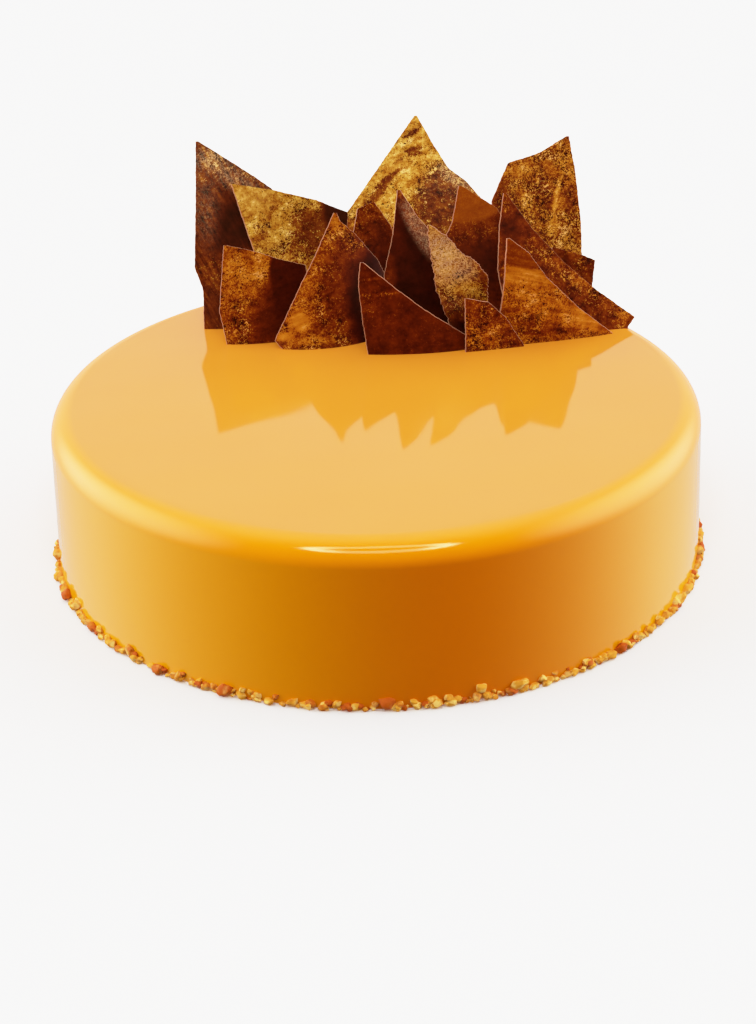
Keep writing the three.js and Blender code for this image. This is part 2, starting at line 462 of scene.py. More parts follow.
@dataclass(frozen=True)
class ToastedNut:
    """Chopped toasted nut: creamy cut faces, golden skins, and a little oil on the surface."""

    cut_colour: str = "#f2c66a"
    skin_colour: str = "#d88f24"
    toast_colour: str = "#ac4a00"
    grain_mm: float = 1.6
    toast_from: float = 0.50
    toast_full: float = 1.25
    cut_share: float = 0.75
    roughness: float = 0.6
    gloss_level: float = 0.12
    bump_mm: float = 0.12

    def material(self) -> Material:
        """Build the nut, with its toast and cut faces read from the pieces' own attributes.

        Returns:
            The material.
        """
        material, tree = new_finish("chopped_toasted_nut")
        place = add_node(tree, "TexCoord").outputs["Object"]
        toast = add_node(tree, "Attribute", attribute_name="toast").outputs["Fac"]
        cut = add_node(tree, "Attribute", attribute_name="cut").outputs["Fac"]
        grain = add_node(tree, "TexNoise", {
            "Vector": place, "Scale": 1 / (self.grain_mm * MM), "Detail": 3.0,
        })
        patchy = add_node(tree, "Math", {0: grain, 1: toast}, operation="ADD")
        browned = add_node(tree, "MapRange", {
            "Value": patchy, "From Min": self.toast_from, "From Max": self.toast_full,
        }, interpolation_type="SMOOTHSTEP")
        paler = add_node(tree, "Math", {0: cut, 1: self.cut_share}, operation="MULTIPLY")
        colour: Any = linear(self.skin_colour)
        for share, cover in ((paler, self.cut_colour), (browned, self.toast_colour)):
            colour = add_node(tree, "Mix", {0: share, 6: colour, 7: linear(cover)}, data_type="RGBA")
        relief = add_node(tree, "Bump", {"Height": grain, "Distance": self.bump_mm * MM})
        surface = add_node(tree, "BsdfPrincipled", {
            "Base Color": colour, "Normal": relief, "Roughness": self.roughness,
            "Specular IOR Level": self.gloss_level,
        })
        add_node(tree, "OutputMaterial", {"Surface": surface})
        return material


@dataclass(frozen=True)
class MattPaint:
    """Pale matt paint for the studio: it gives a soft, even ground with no gloss."""

    name: str = "pale_matt_paint"
    colour: str = "#e9e8e6"
    roughness: float = 0.8
    glow_colour: str = "#ffffff"
    glow: float = 0.0

    def material(self) -> Material:
        """Build the paint, which glows evenly where it is lit from behind.

        Returns:
            The material.
        """
        material, tree = new_finish(self.name)
        surface = add_node(tree, "BsdfPrincipled", {
            "Base Color": linear(self.colour), "Roughness": self.roughness,
            "Emission Color": linear(self.glow_colour), "Emission Strength": self.glow,
        })
        add_node(tree, "OutputMaterial", {"Surface": surface})
        return material


@dataclass
class GlazedCake(SubAssembly):
    """The glazed body: flat underside, flared side, rounded upper edge, gently wavering top.

    The shade heading, in degrees round the axis, is where the side's painted shade is darkest.
    """

    height: float
    foot_radius: float = 112.0
    top_radius: float = 110.0
    edge_round: float = 8.0
    foot_bevel: float = 0.4
    shade_heading: float = -79.3
    shade_power: float = 7.6
    back_share: float = 0.8
    back_power: float = 1.5
    columns: int = 384
    top_rings: int = 60
    edge_rings: int = 20
    side_rings: int = 40
    base_rings: int = 8
    waver: float = 0.05
    waver_lengths: tuple[float, ...] = (58.0, 37.0, 24.0)
    waver_heading: float = 0.7
    waver_turn: float = 2.1
    finish: MirrorGlaze = field(default_factory=MirrorGlaze)

    def outline(self) -> Array:
        """Work out radius and height from the underside's centre round to the top's centre.

        The underside, the side and the top are straight, and a quarter circle joins the last two.

        Returns:
            One row of radius, height and turn over the rounded edge for each ring.
        """
        base = np.linspace(0.0, self.foot_radius - self.foot_bevel, self.base_rings)
        base = np.stack([base, np.zeros_like(base), np.zeros_like(base)], axis=-1)
        rise = np.linspace(0.0, 1.0, self.side_rings)[:, None]
        low = np.array([self.foot_radius, self.foot_bevel, 0.0])
        high = np.array([self.top_radius, self.height - self.edge_round, 0.0])
        side = low + (high - low) * rise
        turn = np.linspace(0.0, math.pi / 2, self.edge_rings + 1)[1:]
        middle = np.array([self.top_radius - self.edge_round, self.height - self.edge_round])
        edge = middle + self.edge_round * np.stack([np.cos(turn), np.sin(turn)], axis=-1)
        edge = np.concatenate([edge, turn[:, None]], axis=1)
        top = np.linspace(self.top_radius - self.edge_round, 0.0, self.top_rings)[1:]
        top = np.stack([top, np.full_like(top, self.height), np.full_like(top, math.pi / 2)], axis=-1)
        return np.concatenate([base, side, edge, top])

    def film(self, rings: Array, angle: Array) -> dict[str, Array]:
        """Say how far each point is over the top, in the edge's painted glow and in the painted shade.

        The painted shade is a power of the cosine to its heading, and a softer one at the back.

        Args:
            rings: rows of the outline, without its two ends.
            angle: angles round each ring.

        Returns:
            One value for each point and then for the two poles, by name.
        """
        turn = np.concatenate([np.repeat(rings[:, 2], self.columns), [0.0, math.pi / 2]])
        ahead = np.tile(np.cos(angle - math.radians(self.shade_heading)), len(rings))
        behind = self.back_share * (0.5 - 0.5 * ahead) ** self.back_power
        # Painted shade on the side, full at its heading and softer at the back
        deep = np.clip(ahead, 0.0, 1.0) ** self.shade_power + behind
        deep = np.concatenate([deep, [0.0, 0.0]])
        # The painted glow peaks midway round the rounded edge
        return {"over": np.sin(turn) ** 2, "thin": np.abs(np.sin(2 * turn)), "deep": deep}

    def build(self) -> Piece:
        """Turn the outline about the axis: each point is the outline's radius at an angle.

        On the top, the height also wavers by a sum of slow sine waves that fades at the edge.

        Returns:
            The glazed cake as one closed piece.
        """
        rings = self.outline()[1:-1]
        angle = TURN * np.arange(self.columns) / self.columns
        x = rings[:, :1] * np.cos(angle)
        y = rings[:, :1] * np.sin(angle)
        z = np.repeat(rings[:, 1:2], self.columns, axis=1)
        inner = np.clip((self.top_radius - rings[:, :1]) / self.edge_round, 0.0, 1.0)
        on_top = inner * (rings[:, 1:2] > self.height - 1e-6)
        for number, length in enumerate(self.waver_lengths):
            heading = self.waver_heading + self.waver_turn * number
            along = x * math.cos(heading) + y * math.sin(heading)
            z = z + on_top * self.waver * np.sin(TURN * along / length + number) / (number + 1)
        points = np.stack([x, y, z], axis=-1).reshape(-1, 3)
        poles = np.array([[0.0, 0.0, 0.0], [0.0, 0.0, z[-1].mean()]])
        return make_piece(
            "glazed_cake", np.concatenate([points, poles]), capped_rings(len(rings), self.columns),
            self.finish.material(), self.film(rings, angle), sharp_angle=40.0,
        )


@dataclass
class ChoppedNuts(SubAssembly):
    """One uneven row of chopped nuts at the foot, with smaller bits between them.

    Sizes are lengths. Stretches are shares of a nut's size along its second and third axes, and
    stand-offs are shares of it that a nut stands out from the foot.
    """

    foot_radius: float
    count: int = 172
    small: float = 2.5
    large: float = 5.5
    broad: Pair = (0.75, 1.0)
    high: Pair = (0.65, 0.9)
    drawn: tuple[float, float, float] = (1.0, 1.3, 0.9)
    spread: float = 0.9
    clearance: float = 0.15
    stand_off: float = 0.26
    knob: float = 0.2
    crumb: float = 0.12
    raised_share: float = 0.18
    raise_by: float = 3.0
    seed: int = 20261
    draws_each: int = 10
    plump: float = 0.86
    sides: int = 14
    rings: int = 9
    chops: int = 6
    chop_near: float = 0.26
    chop_far: float = 0.48
    cut_reach: float = 0.04
    toast_power: int = 3
    bits: int = 600
    bit_small: float = 0.9
    bit_large: float = 3.1
    bit_stretch: Pair = (0.7, 1.0)
    bit_rise: float = 2.0
    rise_power: int = 3
    bit_inner: float = 0.1
    bit_outer: float = 1.5
    finish: ToastedNut = field(default_factory=ToastedNut)

    def draws(self) -> Array:
        """Repeat the draws that place the row: the seed times a power of 16807, modulo 2^31 - 1.

        Returns:
            One row of draws between 0 and 1 for each nut.
        """
        modulus = 2 ** 31 - 1
        total = self.count * self.draws_each
        states = [pow(16807, n, modulus) * self.seed % modulus for n in range(1, total + 1)]
        return np.array(states).reshape(self.count, self.draws_each) / modulus

    def ball(self) -> Array:
        """Give unit directions: rings of a ball, and then its two poles.

        Returns:
            Points by three.
        """
        polar = math.pi * np.arange(1, self.rings + 1)[:, None] / (self.rings + 1)
        around = TURN * np.arange(self.sides) / self.sides
        x = -np.sin(polar) * np.sin(around)
        y = np.sin(polar) * np.cos(around)
        z = -np.cos(polar) * np.ones_like(around)
        body = np.stack([x, y, z], axis=-1).reshape(-1, 3)
        return np.concatenate([body, [[0.0, 0.0, -1.0], [0.0, 0.0, 1.0]]])

    def swelling(self, phase: Array) -> Array:
        """Give the radius in each direction of the ball, as a share of half a nut's size.

        It is one plus slow knobs and finer crumbs, each a product of two sine waves.

        Args:
            phase: one angle for each nut, which sets it apart from the others.

        Returns:
            Nuts by points.
        """
        x, y, z = np.moveaxis(self.ball()[None], -1, 0)
        knobs = np.sin(3 * x + phase) * np.cos(2 * y - 3 * z + phase)
        crumbs = np.sin(6 * y + 2 * phase) * np.cos(5 * x + 6 * z - phase)
        return 1 + self.knob * knobs + self.crumb * crumbs

    @staticmethod
    def tumbled(points: Array, angles: Array) -> Array:
        """Turn each nut by its angles about Z, then Y, then X.

        Args:
            points: nuts by points by three.
            angles: three angles for each nut.

        Returns:
            The turned points.
        """
        for axis in (2, 1, 0):
            one, two = (axis + 1) % 3, (axis + 2) % 3
            cosine, sine = np.cos(angles[:, axis, None]), np.sin(angles[:, axis, None])
            turned = points.copy()
            turned[..., one] = cosine * points[..., one] - sine * points[..., two]
            turned[..., two] = sine * points[..., one] + cosine * points[..., two]
            points = turned
        return points

    def chopped(self, lumps: Array, size: Array, rng: Random) -> tuple[Array, Array]:
        """Cut flats: a point beyond a chop's plane is moved straight back onto the plane.

        Args:
            lumps: nuts by points by three.
            size: size of each nut.
            rng: source of the planes.

        Returns:
            The cut lumps, and for each point how much of a cut face it is.
        """
        cut = np.zeros(lumps.shape[:2])
        for _ in range(self.chops):
            facing = rng.normal(size=(len(lumps), 1, 3))
            facing /= np.linalg.norm(facing, axis=-1, keepdims=True)
            depth = size[:, None] * rng.uniform(self.chop_near, self.chop_far, size=(len(lumps), 1))
            over = np.maximum(0.0, (lumps * facing).sum(-1) - depth)
            lumps = lumps - over[..., None] * facing
            cut = np.maximum(cut, np.clip(over / (self.cut_reach * size[:, None]), 0.0, 1.0))
        return lumps, cut

    def shaped(
        self, size: Array, stretch: Array, phase: Array, angles: Array, rng: Random
    ) -> tuple[Array, Array]:
        """Shape nuts: a stretched, swelling ball, tumbled, drawn out along the foot and chopped.

        Args:
            size: size of each nut.
            stretch: three shares of it for each nut.
            phase: one angle for each nut's swelling.
            angles: three angles for each nut's tumbling.
            rng: source of the chops.

        Returns:
            The lumps, and for each point how much of a cut face it is.
        """
        radius = self.swelling(phase[:, None]) * size[:, None] / 2
        lumps = self.tumbled(self.ball()[None] * stretch[:, None] * radius[..., None], angles)
        return self.chopped(lumps * np.array(self.drawn), size, rng)

    def ringed(self, lumps: Array, distance: Array, lift: Array, place: Array) -> Array:
        """Set each lump down clear of the floor, at its distance and angle round the axis.

        Args:
            lumps: nuts by points by three.
            distance: how far each is from the axis.
            lift: how far each is raised.
            place: angle of each round the axis.

        Returns:
            The placed points.
        """
        x = lumps[..., 0] + distance[:, None]
        y = lumps[..., 1]
        z = lumps[..., 2] + (self.clearance + lift - lumps[..., 2].min(axis=1))[:, None]
        cosine, sine = np.cos(place)[:, None], np.sin(place)[:, None]
        return np.stack([cosine * x - sine * y, sine * x + cosine * y, z], axis=-1)

    def row(self, rng: Random) -> tuple[Array, Array]:
        """Shape and place the nuts of the row, some of them raised and stuck to the side.

        Args:
            rng: source of the chops.

        Returns:
            The nuts' points and cuts.
        """
        draw = self.draws()
        place = TURN * (np.arange(self.count) + self.spread * (draw[:, 0] - 0.5)) / self.count
        size = self.plump * (self.small + (self.large - self.small) * draw[:, 1] ** 2)
        broad = self.broad[0] + (self.broad[1] - self.broad[0]) * draw[:, 2]
        high = self.high[0] + (self.high[1] - self.high[0]) * draw[:, 3]
        stretch = np.stack([np.ones(self.count), broad, high], axis=-1)
        lumps, cut = self.shaped(size, stretch, TURN * draw[:, 4], TURN * draw[:, 5:8], rng)
        standing = draw[:, 8]
        raised = np.maximum(0.0, 1 - draw[:, 9] / self.raised_share)
        distance = self.foot_radius + self.stand_off * size * standing * (1 - raised)
        return self.ringed(lumps, distance, self.raise_by * raised, place), cut

    def scatter(self, rng: Random) -> tuple[Array, Array]:
        """Shape and place the smaller bits, chopped like the nuts and filling the row's gaps.

        Args:
            rng: source of every bit's size, place and chops.

        Returns:
            The bits' points and cuts.
        """
        size = self.bit_small + (self.bit_large - self.bit_small) * rng.uniform(size=self.bits)
        stretch = rng.uniform(*self.bit_stretch, size=(self.bits, 3))
        phase = rng.uniform(0, TURN, size=self.bits)
        angles = rng.uniform(0, TURN, size=(self.bits, 3))
        lumps, cut = self.shaped(size, stretch, phase, angles, rng)
        inner = rng.uniform(size=self.bits)
        stand_off = self.stand_off * size * (self.bit_inner + self.bit_outer * (1 - inner))
        place = rng.uniform(0, TURN, self.bits)
        lift = self.bit_rise * inner ** self.rise_power
        return self.ringed(lumps, self.foot_radius + stand_off, lift, place), cut

    def build(self) -> Piece:
        """Join the row and the bits into one piece, each lump with its own toast.

        Returns:
            The nuts as one mesh of closed lumps.
        """
        rng = np.random.default_rng(self.seed)
        points, cuts, toasts = [], [], []
        for make in (self.row, self.scatter):
            placed, cut = make(rng)
            toast = rng.uniform(0.0, 1.0, len(cut)) ** self.toast_power
            points.append(placed)
            cuts.append(cut.ravel())
            toasts.append(np.repeat(toast, cut.shape[1]))
        lumps = np.concatenate(points)
        start = np.arange(len(lumps))[:, None, None] * lumps.shape[1]
        faces = [
            (start + face).reshape(-1, face.shape[1]) for face in capped_rings(self.rings, self.sides)
        ]
        values = {"cut": np.concatenate(cuts), "toast": np.concatenate(toasts)}
        return make_piece(
            "chopped_nuts", lumps, faces, self.finish.material(), values, sharp_angle=38.0,
        )


class Powder(Enum):
    """Kinds of cover on a plate: how far the colour climbs, how much it varies, and painted sheen."""

    # The third value of each kind is painted sheen: a pale reflection painted on the grains
    BARE = (0.03, 0.03, 0.0)
    UMBER = (0.08, 0.05, 0.0)
    MAROON = (0.18, 0.09, 0.0)
    COCOA = (0.24, 0.20, 0.0)
    FLECK = (0.28, 0.28, 0.03)
    RUST = (0.37, 0.24, 0.0)
    RUSTY_SHEEN = (0.35, 0.16, 0.15)
    LACQUER = (0.42, 0.04, 0.0)
    AMBER = (0.49, 0.23, 0.0)
    COPPER = (0.48, 0.025, 0.0)
    HONEY = (0.64, 0.23, 0.0)
    SHEET = (0.79, 0.08, 0.0)
    GOLD = (0.67, 0.27, 0.0)
    LEAF = (0.82, 0.24, 0.02)
    BRONZE_SHEEN = (0.64, 0.27, 0.27)
    DARK_SHEEN = (0.19, 0.25, 0.05)
    GOLD_SHEEN = (0.76, 0.20, 0.34)


@dataclass(frozen=True)
class Patch:
    """A soft oval of powder on a plate.

    Its middle is at across and up, it reaches that far either side along its own axes, and tilt
    turns it anticlockwise. soft is the share of the reach over which it fades.
    """

    powder: Powder
    across: float
    up: float
    reach: float
    rise: float
    tilt: float = 0.0
    soft: float = 0.5
    share: float = 1.0

    def weight(self, across: Array, up: Array) -> Array:
        """Work out the patch's weight: full inside, and a smooth step out over its soft rim.

        Args:
            across: places across the plate.
            up: places up the plate.

        Returns:
            A weight from 0 to its share for each place.
        """
        cosine, sine = math.cos(math.radians(self.tilt)), math.sin(math.radians(self.tilt))
        along = (across - self.across) * cosine + (up - self.up) * sine
        over = (up - self.up) * cosine - (across - self.across) * sine
        far = np.hypot(along / self.reach, over / self.rise)
        step = np.clip((1 + self.soft - far) / (2 * self.soft), 0.0, 1.0)
        return self.share * step * step * (3 - 2 * step)


@dataclass
class Shard:
    """One snapped chocolate plate: its place, its two snapped edges and its powder.

    left and right run from the tip down to the glaze as across and up on the plate. bow is how
    far the plate curls back at 20 mm either side of its middle, comb is the heading of the brush
    on it, and gilt is how far its powder goes from copper to yellow gold.
    """

    label: str
    foot: Pair
    turn: float
    lean: float
    bow: float
    left: tuple[Pair, ...]
    right: tuple[Pair, ...]
    base: Powder
    patches: tuple[Patch, ...] = ()
    comb: float = 20.0
    brush: float = 0.25
    ragged: float = 0.05
    gilt: float = 0.0

    @property
    def node(self) -> str:
        """Name of the solid that the plate stands for."""
        return "shard_" + self.label


# Lengths are in millimetres and angles in degrees. P is short for the kinds of powder
P = Powder
SHARDS = (
    Shard(
        "back_left", (-50, 57.5), 0, 30, 1.3,
        ((-14, 70), (-14.5, 48), (-15.5, 23), (-12.5, 14.5), (-12.5, 0)),
        ((-13, 70), (7, 56.5), (14, 51.5), (12, 40), (8.5, 28), (1, 0)),
        P.MAROON, (
            Patch(P.FLECK, 0, 59, 20, 6, -35, 0.7),
            # Painted sheen on the upper left and the left, mixed with the powder
            Patch(P.RUSTY_SHEEN, -2, 57, 10, 3.5, -35, 0.7, 0.8),
            Patch(P.BRONZE_SHEEN, -9.5, 63, 3.5, 4, -35, 0.8, 0.8),
            Patch(P.DARK_SHEEN, -11, 47, 4.6, 14, 6, 0.8),
            Patch(P.BARE, 0, 39, 7, 10, -15, 0.5),
            Patch(P.BARE, -3, 30, 6, 4, 0, 0.7, 0.8),
            Patch(P.COCOA, -10, 21, 5, 7, 0, 0.8, 0.8),
        ), comb=-62, brush=1.4, gilt=0.9,
    ),
    Shard(
        "mid_left", (-32, 57), 17, 28, -1.5,
        ((-11.7, 54.5), (-10, 44), (-7.5, 29.5), (-7, 0)),
        ((-10.7, 54.5), (4, 50.5), (18.5, 45), (29.5, 38.5), (25, 20), (13, 0)),
        P.AMBER, (
            Patch(P.GOLD, -1.5, 43, 13, 14, -12, 0.5),
            Patch(P.LEAF, -5, 49, 7, 5, -20, 0.8),
            Patch(P.RUST, -3.5, 36, 1.8, 3.5, 25, 0.8, 0.6),
            Patch(P.COCOA, 1.5, 43, 0.9, 2.6, -30, 0.8, 0.6),
            Patch(P.COCOA, -1, 39, 0.7, 2, 40, 0.8, 0.6),
            Patch(P.HONEY, 13.5, 43.5, 6, 4, -18, 0.7, 0.8),
            Patch(P.COCOA, 15, 33.5, 6, 9, 20, 0.6),
            Patch(P.RUST, 7.5, 29, 7, 3, 0, 0.6, 0.7),
            Patch(P.BARE, 26.5, 38.5, 6.5, 14, 0, 0.3),
        ), brush=0.12, gilt=1.0,
    ),
    Shard(
        "front_left", (-42, 42.5), 4, 18, 3.3,
        ((-10, 35.5), (-13, 12), (-11, 0)),
        ((-9, 35.5), (0.5, 33), (10, 29.5), (19, 27), (20, 14), (14, 0)),
        P.AMBER, (
            Patch(P.HONEY, 0, 26, 9, 5, -8, 0.7, 0.8),
            Patch(P.RUST, -1, 5, 12, 10, 0, 0.6),
            Patch(P.MAROON, 5, 9, 5.5, 14, -15, 0.6),
            # Painted shade: the right part of the plate is dark, with a sharp edge
            Patch(P.UMBER, 14.2, 24, 8.5, 14, 0, 0.1),
            Patch(P.UMBER, 13, 6, 7.5, 14, 0, 0.3),
        ),
    ),
    Shard(
        "front_wide", (-18, 36), 8, 20, 5,
        ((7.5, 47.5), (-1.5, 31), (-5.5, 24.5), (-17, 4), (-14, 0)),
        ((8.5, 47.5), (9.5, 44.5), (14.5, 40), (23, 29.5), (25, 25), (26, 12), (24, 0)),
        P.RUST, (
            Patch(P.HONEY, 7.5, 44, 3, 4, 0, 0.7),
            Patch(P.AMBER, -1, 31, 4, 12, -30, 0.7, 0.8),
            Patch(P.AMBER, -7, 15, 5, 10, -30, 0.7),
            Patch(P.SHEET, -8, 10, 4, 3.5, 20, 0.5),
            Patch(P.SHEET, -13, 5, 3, 1.6, 0, 0.5),
            Patch(P.HONEY, -4, 3, 8, 2, 0, 0.6, 0.8),
            # Painted shade: the right half, which curls away from the light, is darker
            Patch(P.COCOA, 6, 18, 4, 14, 8, 0.7, 0.9),
            Patch(P.MAROON, 13, 20, 6, 14, 12, 0.8, 0.8),
            Patch(P.BARE, 20, 11, 9.5, 20, 8, 0.3),
            Patch(P.BARE, 21, 29, 6, 5, 40, 0.6, 0.9),
        ),
    ),
    Shard(
        "mid_dark", (2, 53), 5, 24, 2,
        ((0.3, 46), (-5, 44), (-7, 35.5), (-8, 15), (-6, 0)),
        ((1.3, 46), (7, 37), (9, 20), (6, 0)),
        P.COCOA, (
            Patch(P.RUST, 2, 43, 4, 3, -35, 0.8, 0.7),
            Patch(P.MAROON, 2, 36, 3, 4, 0, 0.8, 0.8),
            Patch(P.BARE, 4, 24, 6, 8, 0, 0.7, 0.8),
        ),
    ),
    Shard(
        "back_centre", (12, 66), 0, 39, 1,
        ((6, 79), (-3.5, 65.5), (-15, 49), (-23, 38), (-26, 20), (-20, 0)),
        ((7, 79), (13, 67), (18.5, 57.5), (24.5, 53), (32, 44), (33, 25), (25, 0)),
        P.GOLD, (
            Patch(P.LEAF, -2, 61, 4, 3, 30, 0.8, 0.6),
            Patch(P.COCOA, 6, 73, 2.4, 0.6, 22, 0.6, 0.8),
            Patch(P.COCOA, 4.2, 71.2, 3, 0.7, 22, 0.6, 0.8),
            Patch(P.COCOA, 5.4, 69, 3, 0.6, 20, 0.6, 0.6),
            Patch(P.COCOA, 5, 65.3, 3.6, 1, 14, 0.5),
            Patch(P.COCOA, 5.8, 63.6, 2.4, 0.8, 10, 0.5, 0.9),
            Patch(P.COCOA, 0, 61.5, 3, 0.5, 30, 0.6, 0.6),
            Patch(P.RUST, 1, 58, 5, 0.9, 24, 0.7, 0.6),
            Patch(P.COCOA, -3.4, 55.4, 4.6, 0.7, 32, 0.5, 0.9),
            Patch(P.COCOA, -6, 52.6, 5, 0.9, 32, 0.5, 0.9),
            Patch(P.COCOA, -7.6, 49.8, 4.6, 0.8, 34, 0.5, 0.9),
            Patch(P.COCOA, -9.4, 47.4, 4.6, 1, 32, 0.5, 0.9),
            Patch(P.COCOA, -11.5, 44.5, 4, 0.8, 30, 0.6, 0.8),
            Patch(P.FLECK, 18, 49, 10, 14, -35, 0.4),
            Patch(P.COCOA, 13, 41, 9, 8, 0, 0.6, 0.8),
            # Painted sheen: a narrow pale band at the upper right
            Patch(P.BRONZE_SHEEN, 20.5, 54, 6, 2.6, -42, 0.8, 0.6),
            Patch(P.RUST, -21, 30, 7, 10, 0, 0.6),
            Patch(P.COCOA, 5, 16, 34, 20, 0, 0.4),
        ), comb=24, brush=0.2, gilt=1.0,
    ),
    Shard(
        "mid_spike", (14, 38), 0, 21.5, 3.3,
        ((-4, 54.5), (-6, 39), (-9.5, 25), (-10, 10), (-8, 0)),
        ((-3, 54.5), (2.5, 45.5), (7.5, 39.5), (13, 24), (14, 8), (12, 0)),
        P.BARE, (
            Patch(P.MAROON, -5, 40, 3, 12, 12, 0.7, 0.35),
            # Painted sheen: a pale band of reflection along the curled right edge
            Patch(P.RUSTY_SHEEN, 2.2, 42.5, 11, 2.6, -64, 0.6),
            Patch(P.RUSTY_SHEEN, 6, 36, 4, 1.6, -70, 0.7, 0.6),
            Patch(P.RUST, -2.8, 52, 1.6, 3, 0, 0.7, 0.8),
            Patch(P.COCOA, -8, 22, 2.5, 9, 0, 0.7, 0.6),
        ),
    ),
    Shard(
        "front_centre", (14, 28.8), 3, 10, 2.2,
        ((-17.5, 33), (-18.5, 25.5), (-17.5, 12.5), (-16, 0)),
        ((-16.5, 33), (-6, 24), (4.5, 15.5), (19, 5.5), (19, 0)),
        P.MAROON, (
            Patch(P.AMBER, -12, 21.6, 7, 0.5, 4, 0.7, 0.8),
            Patch(P.AMBER, -14, 27.2, 4, 0.4, 6, 0.7, 0.6),
            Patch(P.COCOA, -15, 18, 4, 5, 0, 0.8, 0.5),
        ), comb=3, brush=0.2,
    ),
    Shard(
        "mid_bronze", (33, 34.8), 3, 10.5, 1.7,
        ((-12.5, 43.5), (-12, 36), (-10, 20.5), (-6, 9), (-4, 0)),
        ((-11.5, 43.5), (-6, 39.5), (-0.5, 33), (4.5, 30), (8.5, 24), (8, 16), (8, 0)),
        P.AMBER, (
            # Painted sheen over the gold powder on the upper part
            Patch(P.BRONZE_SHEEN, -6, 32, 9, 8, -40, 0.6),
            Patch(P.GOLD_SHEEN, -7, 33.5, 7, 3, -50, 0.7),
            Patch(P.RUSTY_SHEEN, 0.5, 27.5, 4.5, 3, -30, 0.8, 0.5),
            Patch(P.GOLD, 1, 20.5, 6, 2.5, 0, 0.7, 0.6),
            Patch(P.FLECK, -5, 14.5, 8, 4, 0, 0.7, 0.8),
            Patch(P.COCOA, 7, 24, 1.8, 6, 10, 0.7, 0.8),
            Patch(P.COCOA, -3, 10.5, 8, 3.5, 0, 0.6, 0.9),
            Patch(P.BARE, -1, 5, 8, 5, 0, 0.5, 0.9),
        ), ragged=0.16, gilt=0.7,
    ),
    Shard(
        "mid_copper", (40, 50), 5, 27, 2.2,
        ((-5.3, 52.5), (-8.5, 39.5), (-11, 35), (-12, 15), (-9, 0)),
        ((-4.3, 52.5), (8.5, 43.5), (14, 30), (10, 0)),
        P.MAROON, (
            Patch(P.RUST, 0, 37, 14, 7, 0, 0.8, 0.6),
            Patch(P.BARE, 2, 24, 8, 8, 0, 0.7, 0.7),
            Patch(P.COPPER, -1, 51, 18, 12, 8, 0.1),
        ), brush=0.1,
    ),
    Shard(
        "front_small", (43, 31), 10, 10, 0.5,
        ((-10, 19), (-10.5, 0)),
        ((-9, 19), (-1.5, 17), (4.5, 11), (11, 0)),
        P.RUST, (
            Patch(P.COCOA, -4, 15, 8, 3, -15, 0.7, 0.6),
            Patch(P.AMBER, -3, 5, 8, 4, 0, 0.7, 0.9),
            Patch(P.COCOA, 7, 3, 3, 4, 40, 0.7, 0.6),
        ), comb=4, brush=0.5,
    ),
    Shard(
        "mid_long", (66, 43.8), 8, 28, 0,
        ((-14.3, 52), (-17, 40), (-19, 25), (-18.5, 19), (-16, 0)),
        ((-13.3, 52), (-5, 38.5), (5.5, 25.5), (15.5, 15.5), (30, 3.5), (27, 0)),
        P.COCOA, (
            Patch(P.RUST, 8, 20, 22, 3, -41, 0.7),
            Patch(P.AMBER, 25, 5, 4, 3, -40, 0.7, 0.9),
            Patch(P.AMBER, 10, 18, 4, 2, -45, 0.7, 0.5),
            Patch(P.BARE, -13, 38, 4, 7, 0, 0.7, 0.7),
            Patch(P.RUST, -14, 47, 1.6, 5, 8, 0.7, 0.6),
        ),
    ),
    Shard(
        "front_right", (64, 36.8), 11, 7, 1.2,
        ((-15.6, 38.5), (-17, 22.5), (-18.5, 12.5), (-18, 0)),
        ((-14.6, 38.5), (-8, 33), (-1.5, 23.5), (10, 11.5), (23.5, 0)),
        P.AMBER, (
            Patch(P.SHEET, -9, 24, 11, 3.6, -14, 0.4),
            Patch(P.GOLD, -4, 18.5, 13, 4, -18, 0.7, 0.8),
            Patch(P.MAROON, 3, 16, 6, 1.2, -26, 0.7, 0.5),
            Patch(P.COCOA, -9, 8, 8, 4, 0, 0.7, 0.3),
            Patch(P.GOLD, 3, 11, 12, 4, -24, 0.8, 0.8),
            Patch(P.SHEET, 13.5, 7, 7, 3, -38, 0.6),
            Patch(P.COCOA, -1, 3.8, 10, 1.1, -2, 0.6, 0.9),
            Patch(P.MAROON, -17.5, 4, 3, 5, 20, 0.6, 0.9),
            Patch(P.LACQUER, -9, 37, 14, 9.3, -13, 0.08, 0.95),
        ), comb=-16, brush=0.35,
    ),
    Shard(
        "back_right", (72, 59), 0, 28, -1.2,
        ((1.4, 67), (-9, 61), (-20.5, 57.5), (-27, 43.5), (-24, 22), (-18, 0)),
        ((2.4, 67), (4.5, 53.5), (6, 35), (6, 23), (4, 0)),
        P.AMBER, (
            Patch(P.RUST, -10, 42, 14, 12, 0, 0.7, 0.5),
            Patch(P.HONEY, -16, 54, 6, 3, 10, 0.7, 0.6),
            Patch(P.RUST, -6, 60, 6, 2, 25, 0.7, 0.7),
            Patch(P.RUST, -8, 46, 5, 6, 0, 0.7, 0.9),
            Patch(P.COCOA, -24, 43, 4, 9, -20, 0.7, 0.8),
            Patch(P.HONEY, -15, 44, 2, 6, 35, 0.7, 0.6),
            Patch(P.HONEY, 3, 54, 1.5, 8, 3, 0.7, 0.5),
            Patch(P.RUST, 3, 42, 3, 7, 0, 0.7, 0.7),
            Patch(P.GOLD, -2.6, 46, 0.7, 8, -14, 0.7),
            Patch(P.HONEY, -4.5, 35, 1, 5, -14, 0.7, 0.8),
        ), comb=60, brush=0.3, gilt=0.3,
    ),
    Shard(
        "mid_small", (80, 52), 4, 24, 2,
        ((-13, 28.5), (-14, 15), (-10, 0)),
        ((-12, 28.5), (-1.5, 25), (2.5, 23), (1, 14), (-1, 0)),
        P.COCOA, (
            Patch(P.RUST, -2, 22, 3, 2, -20, 0.7),
        ),
    ),
)


